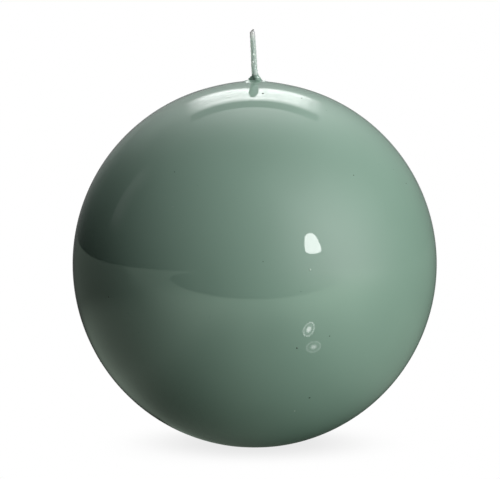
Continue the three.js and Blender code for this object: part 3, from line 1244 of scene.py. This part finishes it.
@dataclass
class WickTab:
    """The pressed tin tab: a drawn neck, an embossed ring and a rolled rim."""

    finish: TinPlate = TinPlate("tin_plate")
    sides: int = 160
    draw_radius: float = 0.55 * MM
    emboss_radius: float = 3.7 * MM
    emboss_height: float = 0.16 * MM
    emboss_width: float = 0.5 * MM
    sheet: float = 0.35 * MM
    neck_radius: float = 1.55 * MM
    bore_radius: float = 1.15 * MM
    curl_width: float = 0.9 * MM
    curl_rise: float = 0.25 * MM
    edge_round: float = 0.12 * MM
    crimp_drop: float = 1.6 * MM
    crimp_height: float = 1.0 * MM
    crimp_depth: float = 0.10 * MM
    crimp_within: float = 2.2 * MM
    neck_edge: float = 0.08 * MM
    neck_round: float = 0.1 * MM

    def build(self) -> bpy.types.Object:
        """Builds and dresses the tab.

        Returns:
            The finished piece.
        """
        low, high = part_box("wick_tab")
        angles = np.linspace(0.0, FULL_TURN, self.sides, endpoint=False)[None, :]
        under, over = self._faces(low.z, high.x, high.z)
        profile = np.array([*under, *over])
        radii = profile[:, :1] + 0.0 * angles
        heights = profile[:, 1:] + 0.0 * angles
        crimp = hump(heights - (high.z - self.crimp_drop), self.crimp_height) * np.cos(1.5 * angles) ** 8
        radii = np.where(radii < self.crimp_within, radii - self.crimp_depth * crimp, radii)
        mesh = ring_body("tin_tab", turned(radii, heights, angles), wraps=True)
        mesh.materials.append(self.finish.material())
        piece = place("tin_tab", mesh)
        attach(piece, "root")
        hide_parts("wick_tab")
        return piece

    def _faces(self, bottom: float, rim: float, top: float) -> tuple[list, list]:
        """Lists radius and height along the tab's outside and then along its bore.

        Args:
            bottom: Height of the tab's underside.
            rim: Radius of its rim.
            top: Height of its neck's top.

        Returns:
            The profile from the underside's middle out to the rim and up the neck, and down the bore.
        """
        sheet, neck, bore, draw = self.sheet, self.neck_radius, self.bore_radius, self.draw_radius
        start = rim - self.curl_width
        flat = np.linspace(bore + draw, start, 40)
        lift = self.emboss_height * hump(flat - self.emboss_radius, self.emboss_width)
        shares = np.linspace(0.0, 1.0, 8)[1:-1]
        curl = [(start + self.curl_width * t, bottom + self.curl_rise * t * t) for t in shares]
        edge_radius, edge_height = rim - self.edge_round, bottom + self.curl_rise + sheet / 2
        edge = []
        for turn in np.linspace(-math.pi / 2, math.pi / 2, 9):
            across, up = self.edge_round * math.cos(turn), sheet / 2 * math.sin(turn)
            edge.append((edge_radius + across, edge_height + up))
        under = [*zip(flat, bottom + lift), *curl, *edge]
        back_curl = [(r, z + sheet) for r, z in reversed(curl)]
        inward = zip(flat[::-1], (bottom + lift)[::-1])
        upper_flat = [(r, z + sheet) for r, z in inward if r > neck + draw * 0.6]
        foot, shoulder = bottom + sheet, top - self.neck_round
        outer_neck = [(neck + self.edge_round, foot + self.neck_round), (neck, foot + 4 * self.neck_round)]
        outer_neck += [(neck, z) for z in np.linspace(bottom + 1.2 * MM, shoulder, 24)]
        outer_neck += [(neck - self.neck_edge, top), (bore + self.neck_edge, top)]
        inner = [(bore, z) for z in np.linspace(shoulder, bottom + draw, 24)]
        for turn in np.linspace(0.0, math.pi / 2, 8)[1:-1]:
            inner.append((bore + draw * (1 - math.cos(turn)), bottom + draw * (1 - math.sin(turn))))
        return [*under, *back_curl, *upper_flat], [*outer_neck, *inner]


# ---------------------------------------------------------------------------------------------------------
# Studio
# ---------------------------------------------------------------------------------------------------------


class CardShape(Enum):
    """The outlines that a light card comes in."""

    RECTANGLE = "rectangle"
    RINGED = "ringed disc"
    BELL = "bell"


@dataclass
class LightCard:
    """A flat glowing card that lights the candle and is mirrored in its lacquer."""

    name: str
    middle: Vector
    facing: Vector
    width: float
    height: float
    strength: float
    shape: CardShape = CardShape.RECTANGLE
    soft: tuple[float, float, float, float] = (0.0, 0.0, 0.0, 0.0)
    colour: Colour = WHITE
    lights: bool = True
    solid: bool = False

    def build(self) -> bpy.types.Object:
        """Builds the card.

        Returns:
            The card's object, which the camera doesn't see.
        """
        outline = self._outline()
        across = Vector((0, 0, 1)).cross(self.facing)
        across = across.normalized() if across.length > 1e-6 else Vector((1, 0, 0))
        up = self.facing.cross(across).normalized()
        corners = [self.middle + across * (x * self.width) + up * (y * self.height) for x, y in outline]
        mesh = bpy.data.meshes.new(self.name)
        mesh.from_pydata(corners, [], [tuple(range(len(corners)))])
        layer = mesh.uv_layers.new(name="UVMap")
        for loop, (x, y) in zip(layer.data, outline):
            loop.uv = (x + 0.5, y + 0.5)
        mesh.materials.append(self._glow())
        card = place(self.name, mesh)
        card.visible_camera = False
        card.visible_diffuse = self.lights
        card.visible_shadow = False
        return card

    def _outline(self) -> list[tuple[float, float]]:
        """Gives the card's outline in a unit square about its middle, anticlockwise."""
        if self.shape is CardShape.RECTANGLE:
            return [(-0.5, -0.5), (0.5, -0.5), (0.5, 0.5), (-0.5, 0.5)]
        turns = np.linspace(0.0, FULL_TURN, 48, endpoint=False)
        if self.shape is CardShape.RINGED:
            return [(0.5 * math.cos(t), 0.5 * math.sin(t)) for t in turns]
        round_top, square_foot, taper = 0.72, 0.5, 0.16
        outline = []
        for t in turns:
            power = round_top if t < math.pi else square_foot
            x = math.copysign(abs(math.cos(t)) ** round_top, math.cos(t))
            y = math.copysign(abs(math.sin(t)) ** power, math.sin(t))
            flare = (0.03 if x > 0 else 0.07) * y
            outline.append((0.5 * x * (1.0 - taper - taper * y) + flare, 0.5 * y))
        return outline

    def _glow(self) -> bpy.types.Material:
        """Makes the card's glow, fading towards soft edges."""
        made = bpy.data.materials.new(self.name)
        made.use_nodes = True
        made.node_tree.nodes.clear()
        sketch = ShaderSketch(made.node_tree)
        uv = sketch.add("ShaderNodeTexCoord").outputs["UV"]
        parts = sketch.add("ShaderNodeSeparateXYZ")
        sketch.feed(parts, 0, uv)
        level: object = self.strength
        for edge, softness in enumerate(self.soft):
            if softness > 0.0:
                distance = parts.outputs[edge // 2]
                if edge % 2:
                    distance = sketch.math("SUBTRACT", 1.0, distance)
                level = sketch.math("MULTIPLY", level, sketch.ramp(distance, 0.0, softness))
        if self.shape is CardShape.RINGED:
            ends = {0: uv, 1: (0.5, 0.5, 0.0)}
            away = sketch.run("ShaderNodeVectorMath", ends, "Value", operation="DISTANCE")
            core = sketch.ramp(away, 0.28, 0.10, 0.12, 1.0)
            rim = sketch.ramp(away, 0.40, 0.44, 0.0, 0.42)
            level = sketch.math("MULTIPLY", level, sketch.math("ADD", core, rim))
        glow = sketch.run("ShaderNodeEmission", {"Color": solid(self.colour), "Strength": level})
        if not self.solid:
            clear = sketch.run("ShaderNodeBsdfTransparent", {"Color": solid(WHITE)})
            glow = sketch.run("ShaderNodeAddShader", {0: clear, 1: glow})
        sketch.feed(sketch.add("ShaderNodeOutputMaterial"), "Surface", glow)
        return made


@dataclass(frozen=True)
class Glow:
    """A soft part of the studio's surroundings: bright one way, fading with the turn from it."""

    bearing: float
    elevation: float
    sharpness: float
    strength: float


@dataclass(frozen=True)
class TableGlow:
    """The dim light of a table, by distances in metres from the candle's foot, with a painted shadow right at
    the foot.
    """

    left_level: float = 0.22
    left_fade: tuple[float, float] = (-0.01, 0.02)
    side_level: float = 0.27
    side_rise: tuple[float, float] = (0.03, 0.07)
    least_aside: float = 0.006
    behind_fade: float = 3.0
    # Reach of the shadow painted into the table's glow under the candle.
    foot_shadow_reach: float = 0.03
    far_fade: tuple[float, float] = (0.12, 0.30)
    far_share: float = 0.5
    front_level: float = 0.82
    front_rise: tuple[float, float] = (-0.06, -0.20)
    front_sides: tuple[float, float] = (0.03, 0.38)
    front_share: float = 0.3
    edge: float = 0.23
    edge_width: float = 0.02
    bow: float = 0.65

    def level(self, sketch: ShaderSketch) -> bpy.types.NodeSocket:
        """Gives the glow that the candle mirrors where the camera sees the pale floor.

        Args:
            sketch: The floor's node sketch.

        Returns:
            A level, higher at the sides, most of all on the left, in front up to a bowed edge, with a painted
            foot shadow.
        """
        at = sketch.object_place()
        flat = sketch.add("ShaderNodeSeparateXYZ")
        sketch.feed(flat, 0, at)
        across, back = flat.outputs["X"], flat.outputs["Y"]
        reach = sketch.run("ShaderNodeVectorMath", {0: at}, "Value", operation="LENGTH")
        aside = sketch.math("ABSOLUTE", across)
        beside = sketch.math("SUBTRACT", aside, self.side_rise[0])
        beside = sketch.math("MAXIMUM", beside, self.least_aside)
        near = sketch.math(
            "ADD",
            sketch.ramp(aside, *self.side_rise, 0.0, self.side_level),
            sketch.ramp(across, *self.left_fade, self.left_level, 0.0),
        )
        for share in (
            sketch.ramp(sketch.math("DIVIDE", back, beside), 0.0, self.behind_fade, 1.0, 0.0),
            # Painted shadow: the table's glow goes dark right under the candle's foot.
            sketch.ramp(reach, 0.0, self.foot_shadow_reach),
            sketch.ramp(reach, *self.far_fade, 1.0, self.far_share),
        ):
            near = sketch.math("MULTIPLY", near, share)
        ends = (self.front_level, self.front_share * self.front_level)
        narrow = sketch.ramp(aside, *self.front_sides, *ends)
        front = sketch.math("MULTIPLY", sketch.ramp(back, *self.front_rise), narrow)
        bow = sketch.math("MULTIPLY", sketch.math("POWER", across, 2.0), self.bow)
        bowed = sketch.math("ADD", back, bow)
        inside = sketch.ramp(bowed, -self.edge - self.edge_width, -self.edge)
        return sketch.math("MULTIPLY", sketch.math("ADD", near, front), inside)


@dataclass
class Studio:
    """Floor, surroundings, light cards and camera."""

    form: CandleForm
    camera_distance: float = 0.90
    camera_elevation: float = 4.5
    camera_lens: float = 196.4
    sensor_width: float = 36.0
    aim_left: float = 1.53 * MM
    aim_up: float = 8.0 * MM
    floor_size: float = 8.0
    overhead_height: float = 0.70
    overhead_forward: float = 0.02
    frame_lift: float = 0.02
    card_distance: float = 1.2
    below_share: float = 0.49
    below_fade: tuple[float, float] = (-0.75, -0.10)
    below_tint: Colour = (0.80, 1.0, 0.82)
    tint_fade: tuple[float, float] = (-0.30, 0.05)
    # Reach and levels of the contact shadow painted into the floor's glow.
    shade_reach: float = 0.05
    shade_open: float = 0.55
    shade_level: float = 0.80
    table: TableGlow = TableGlow()
    glows: Sequence[Glow] = (
        Glow(bearing=47, elevation=33, sharpness=7.0, strength=1.41),
        Glow(bearing=58, elevation=2, sharpness=7.0, strength=2.05),
        Glow(bearing=176, elevation=60, sharpness=10.0, strength=2.1),
        Glow(bearing=174, elevation=10, sharpness=8.0, strength=0.13),
        Glow(bearing=-168, elevation=18, sharpness=25.0, strength=0.19),
    )

    def build(self) -> None:
        """Builds the whole studio."""
        self._world()
        self._floor()
        for card in self._cards():
            card.build()
        self._camera()

    def _cards(self) -> list[LightCard]:
        """Lists the light cards about the candle's middle."""
        middle = Vector((0, 0, self.form.centre))

        def stood(
            name: str, way: Vector, wide: float, tall: float, strength: float, **more: object
        ) -> LightCard:
            """Makes a card that faces the candle and spans so many degrees."""
            distance = self.card_distance
            width, height = (2 * distance * math.tan(math.radians(span) / 2) for span in (wide, tall))
            return LightCard(name, middle + way * distance, -way, width, height, strength, **more)

        def overhead(
            name: str, near: float, far: float, wide: float, strength: float, **more: object
        ) -> LightCard:
            """Makes a level card above and behind, between two elevations seen from the crown."""
            rise = self.overhead_height + (self.frame_lift if more.get("solid") else 0.0)
            front, back = (rise / math.tan(math.radians(angle)) for angle in (near, far))
            heart = Vector((0.0, (front + back) / 2 - self.overhead_forward, self.form.crown + rise))
            return LightCard(name, heart, Vector((0, 0, -1)), wide, back - front, strength, **more)

        return [
            overhead("softbox", 52.0, 27.0, 0.79, 6.1, soft=(0.24, 0.26, 0.34, 0.18)),
            overhead("softbox_spill", 50.0, 22.0, 2.4, 0.10, soft=(0.30, 0.45, 0.5, 0.08), lights=False),
            overhead("softbox_frame", 60.0, 51.2, 0.72, 0.60, lights=False, solid=True),
            stood("bell_lamp", toward(35.8, 15.7), 11.0, 11.6, 13.0, shape=CardShape.BELL),
            stood("low_lamp", toward(37.3, -33.5), 6.6, 8.8, 9.5, shape=CardShape.RINGED, lights=False),
            stood("lower_lamp", toward(46.0, -43.5), 8.6, 7.0, 5.0, shape=CardShape.RINGED, lights=False),
            stood(
                "left_panel", toward(-100.0, 27.0), 15.0, 35.0, 0.22, soft=(0.8, 0.0, 0.3, 0.3), lights=False
            ),
        ]

    def _world(self) -> None:
        """Makes the surroundings: plain white to the camera, softly lit to the candle."""
        world = bpy.data.worlds.new("studio")
        world.use_nodes = True
        world.node_tree.nodes.clear()
        sketch = ShaderSketch(world.node_tree)
        way = sketch.add("ShaderNodeTexCoord").outputs["Generated"]
        level: object = 0.0
        for glow in self.glows:
            heading = tuple(toward(glow.bearing, glow.elevation))
            along = sketch.run("ShaderNodeVectorMath", {0: way, 1: heading}, "Value", operation="DOT_PRODUCT")
            power = sketch.math("MULTIPLY", sketch.math("SUBTRACT", along, 1.0), glow.sharpness)
            fade = sketch.math("EXPONENT", power)
            level = sketch.math("ADD", level, sketch.math("MULTIPLY", fade, glow.strength))
        rise = sketch.height_of(way)
        level = sketch.math("MULTIPLY", level, sketch.ramp(rise, *self.below_fade, self.below_share, 1.0))
        tint = sketch.blend(sketch.ramp(rise, *self.tint_fade), solid(self.below_tint), solid(WHITE))
        seen = sketch.add("ShaderNodeLightPath").outputs["Is Camera Ray"]
        white = sketch.run("ShaderNodeBackground", {"Color": solid(WHITE), "Strength": 1.0})
        lit = sketch.run("ShaderNodeBackground", {"Color": tint, "Strength": level})
        mixed = sketch.run("ShaderNodeMixShader", {0: seen, 1: lit, 2: white})
        sketch.feed(sketch.add("ShaderNodeOutputWorld"), "Surface", mixed)
        bpy.context.scene.world = world

    def _floor(self) -> None:
        """Lays a floor: pale to the camera, with a painted contact shadow, and a dim table in the candle's
        reflections.
        """
        half = self.floor_size / 2
        mesh = bpy.data.meshes.new("floor")
        corners = [(-half, -half, 0), (half, -half, 0), (half, half, 0), (-half, half, 0)]
        mesh.from_pydata(corners, [], [(0, 1, 2, 3)])
        made = bpy.data.materials.new("pale_floor")
        made.use_nodes = True
        made.node_tree.nodes.clear()
        sketch = ShaderSketch(made.node_tree)
        around = {"Distance": self.shade_reach}
        # Painted contact shadow: the floor's glow to the camera is dimmed by ambient occlusion near the
        # candle.
        open_share = sketch.run("ShaderNodeAmbientOcclusion", around, "AO", samples=16)
        pale = sketch.ramp(open_share, 0.0, self.shade_open, self.shade_level, 1.0)
        seen = sketch.add("ShaderNodeLightPath").outputs["Is Camera Ray"]
        floor_glow_with_painted_shadow = sketch.run("ShaderNodeEmission", {"Color": solid(WHITE), "Strength": pale})
        table = {"Color": solid(self.below_tint), "Strength": self.table.level(sketch)}
        table_glow = sketch.run("ShaderNodeEmission", table)
        clear = sketch.run("ShaderNodeBsdfTransparent", {"Color": solid(WHITE)})
        mirrored = sketch.run("ShaderNodeAddShader", {0: clear, 1: table_glow})
        mixed = sketch.run("ShaderNodeMixShader", {0: seen, 1: mirrored, 2: floor_glow_with_painted_shadow})
        sketch.feed(sketch.add("ShaderNodeOutputMaterial"), "Surface", mixed)
        mesh.materials.append(made)
        floor = place("floor", mesh)
        floor.visible_diffuse = False
        floor.visible_shadow = False

    def _camera(self) -> None:
        """Sets the camera a little above level, with the candle low in the frame."""
        lens = bpy.data.cameras.new("camera")
        lens.lens = self.camera_lens
        lens.sensor_width = self.sensor_width
        camera = bpy.data.objects.new("camera", lens)
        bpy.context.scene.collection.objects.link(camera)
        aim = Vector((-self.aim_left, 0, self.form.centre + self.aim_up))
        way = toward(0.0, self.camera_elevation)
        facing = (-way).to_track_quat("-Z", "Y").to_matrix().to_4x4()
        camera.matrix_world = Matrix.Translation(aim + way * self.camera_distance) @ facing
        bpy.context.scene.camera = camera
        bpy.context.scene.view_settings.view_transform = "Standard"


def main() -> None:
    """Builds every piece in order, then the studio."""
    logging.basicConfig(level=logging.INFO, format="%(name)s: %(message)s")
    form = CandleForm.of_part()
    line = WickLine.of_part(form)
    braid = WickBraid(line)
    makers = [
        LacquerCoat(form),
        DustNibs(form),
        pale_nibs(form),
        WaxBall(form),
        braid,
        WickSkin(line, form, braid),
        TipFray(line, braid.cut),
        WickTab(),
    ]
    for maker in makers:
        piece = maker.build()
        log.info("%s: %d faces", piece.name, len(piece.data.polygons))
    Studio(form).build()


if __name__ == "__main__":
    main()
